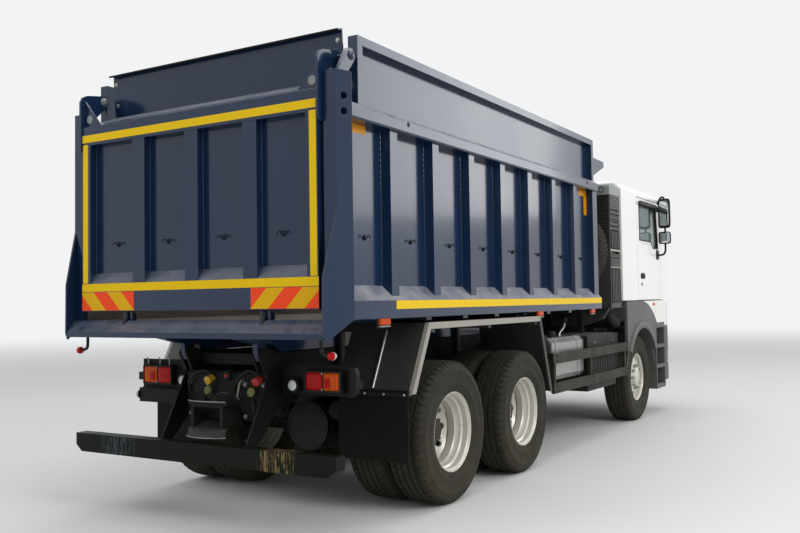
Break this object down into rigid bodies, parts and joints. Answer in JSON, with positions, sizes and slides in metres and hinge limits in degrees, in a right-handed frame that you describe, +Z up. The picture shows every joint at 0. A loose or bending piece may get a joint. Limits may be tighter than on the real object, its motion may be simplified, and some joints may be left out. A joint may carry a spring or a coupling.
{
  "type": "dump truck",
  "caption": "Forward-control dump truck: ribbed steel tipping body with a top-hung tailgate, telescopic front hoist, tilting cab, twin rear wheels",
  "frame": {"origin": "middle of the truck's box on the ground", "axes": "+X forward, +Y to the truck's left, +Z up"},
  "size_m": [8.134, 2.874, 3.34],
  "materials": {
    "chassis_paint": "satin",
    "guard_paint": "satin",
    "body_paint": "gloss",
    "cab_paint": "gloss",
    "cast_metal": "rough",
    "bare_aluminium": "brushed",
    "wheel_silver": "satin",
    "bright_chrome": "polished",
    "tyre_rubber": "matte",
    "flap_rubber": "matte",
    "black_plastic": "matte",
    "grey_plastic": "matte",
    "red_lens": "gloss",
    "amber_lens": "gloss",
    "lamp_glass": "clear",
    "window_glass": "tinted",
    "seat_fabric": "matte"
  },
  "bodies": {
    "chassis": {"frame_rails": "chassis_paint", "cross_members": "chassis_paint", "subframe": "chassis_paint", "hoist_cradle": "chassis_paint", "powertrain": "cast_metal", "rear_axles": "chassis_paint", "front_axle": "chassis_paint", "leaf_springs": "chassis_paint", "fuel_tank": "bare_aluminium", "battery_box": "black_plastic", "silencer": "bare_aluminium", "air_tanks": "chassis_paint", "side_guards": "guard_paint", "intake_tower": "black_plastic", "spare_tyre": "tyre_rubber", "spare_rim": "wheel_silver", "spare_carrier": "chassis_paint", "rear_mudguards": "black_plastic", "mudflaps": "flap_rubber", "underrun_bar": "guard_paint", "tail_lamps": "red_lens", "front_mudguards": "grey_plastic", "steps": "grey_plastic", "bumper": "grey_plastic", "headlamps": "lamp_glass", "cab_support": "chassis_paint"},
    "tipping_body": {"body_floor": "body_paint", "body_side_left": "body_paint", "body_side_right": "body_paint", "body_front": "body_paint", "side_lamps": "amber_lens"},
    "tailgate_body": {"tailgate": "body_paint"},
    "hoist_tube": {"hoist_barrel": "chassis_paint"},
    "hoist_first": {"hoist_stage_1": "bright_chrome"},
    "hoist_second": {"hoist_stage_2": "bright_chrome"},
    "hoist_rod": {"hoist_stage_3": "bright_chrome"},
    "cab": {"cab_shell": "cab_paint", "grille": "black_plastic", "cab_glass": "window_glass", "cab_interior": "seat_fabric"},
    "left_door": {"door_left": "cab_paint", "door_glass_left": "window_glass", "mirror_left": "black_plastic"},
    "right_door": {"door_right": "cab_paint", "door_glass_right": "window_glass", "mirror_right": "black_plastic"},
    "left_knuckle": {"knuckle_left": "cast_metal"},
    "right_knuckle": {"knuckle_right": "cast_metal"},
    "front_wheel_left": {"front_tyre_left": "tyre_rubber", "front_rim_left": "wheel_silver"},
    "middle_wheel_left": {"middle_tyres_left": "tyre_rubber", "middle_rims_left": "wheel_silver"},
    "rear_wheel_left": {"rear_tyres_left": "tyre_rubber", "rear_rims_left": "wheel_silver"},
    "front_wheel_right": {"front_tyre_right": "tyre_rubber", "front_rim_right": "wheel_silver"},
    "middle_wheel_right": {"middle_tyres_right": "tyre_rubber", "middle_rims_right": "wheel_silver"},
    "rear_wheel_right": {"rear_tyres_right": "tyre_rubber", "rear_rims_right": "wheel_silver"}
  },
  "joints": [
    {"name": "bed_tip", "type": "hinge", "parent": "chassis", "child": "tipping_body", "pos_m": [-3.653, 0, 1.17], "axis": [0, -1, 0], "range_deg": [0, 46]},
    {"name": "tailgate_swing", "type": "hinge", "parent": "tipping_body", "child": "tailgate_body", "pos_m": [-3.773, 0, 3.12], "axis": [0, 1, 0], "range_deg": [0, 70]},
    {"name": "hoist_pivot", "type": "hinge", "parent": "chassis", "child": "hoist_tube", "pos_m": [1.407, 0, 0.84], "axis": [0, -1, 0], "range_deg": [0, 20.34]},
    {"name": "hoist_slide_1", "type": "slide", "parent": "hoist_tube", "child": "hoist_first", "axis": [-0.1461, 0, 0.9893], "range_m": [0, 1.2534]},
    {"name": "hoist_slide_2", "type": "slide", "parent": "hoist_first", "child": "hoist_second", "axis": [-0.1461, 0, 0.9893], "range_m": [0, 1.2534]},
    {"name": "hoist_slide_3", "type": "slide", "parent": "hoist_second", "child": "hoist_rod", "axis": [-0.1461, 0, 0.9893], "range_m": [0, 1.2534]},
    {"name": "cab_tilt", "type": "hinge", "parent": "chassis", "child": "cab", "pos_m": [3.967, 0, 0.9], "axis": [0, 1, 0], "range_deg": [0, 60]},
    {"name": "door_right_hinge", "type": "hinge", "parent": "cab", "child": "right_door", "pos_m": [3.502, -1.232, 2.1], "axis": [0, 0, 1], "range_deg": [0, 70]},
    {"name": "door_left_hinge", "type": "hinge", "parent": "cab", "child": "left_door", "pos_m": [3.502, 1.232, 2.1], "axis": [0, 0, -1], "range_deg": [0, 70]},
    {"name": "steer_right", "type": "hinge", "parent": "chassis", "child": "right_knuckle", "pos_m": [2.627, -0.935, 0.538], "axis": [0, 0, 1], "range_deg": [-38, 38]},
    {"name": "steer_left", "type": "hinge", "parent": "chassis", "child": "left_knuckle", "pos_m": [2.627, 0.935, 0.538], "axis": [0, 0, 1], "range_deg": [-38, 38]},
    {"name": "front_wheel_right_spin", "type": "hinge", "parent": "right_knuckle", "child": "front_wheel_right", "pos_m": [2.627, -1.035, 0.538], "axis": [0, 1, 0], "continuous": true},
    {"name": "middle_wheel_right_spin", "type": "hinge", "parent": "chassis", "child": "middle_wheel_right", "pos_m": [-1.123, -0.927, 0.538], "axis": [0, 1, 0], "continuous": true},
    {"name": "rear_wheel_right_spin", "type": "hinge", "parent": "chassis", "child": "rear_wheel_right", "pos_m": [-2.473, -0.927, 0.538], "axis": [0, 1, 0], "continuous": true},
    {"name": "front_wheel_left_spin", "type": "hinge", "parent": "left_knuckle", "child": "front_wheel_left", "pos_m": [2.627, 1.035, 0.538], "axis": [0, 1, 0], "continuous": true},
    {"name": "middle_wheel_left_spin", "type": "hinge", "parent": "chassis", "child": "middle_wheel_left", "pos_m": [-1.123, 0.927, 0.538], "axis": [0, 1, 0], "continuous": true},
    {"name": "rear_wheel_left_spin", "type": "hinge", "parent": "chassis", "child": "rear_wheel_left", "pos_m": [-2.473, 0.927, 0.538], "axis": [0, 1, 0], "continuous": true}
  ],
  "couplings": [
    {"joint": "hoist_pivot", "follows": "bed_tip", "ratio": 0.44221},
    {"joint": "hoist_slide_1", "follows": "bed_tip", "m_per_rad": 1.5611},
    {"joint": "hoist_slide_2", "follows": "bed_tip", "m_per_rad": 1.5611},
    {"joint": "hoist_slide_3", "follows": "bed_tip", "m_per_rad": 1.5611},
    {"joint": "steer_left", "follows": "steer_right", "ratio": 1}
  ]
}
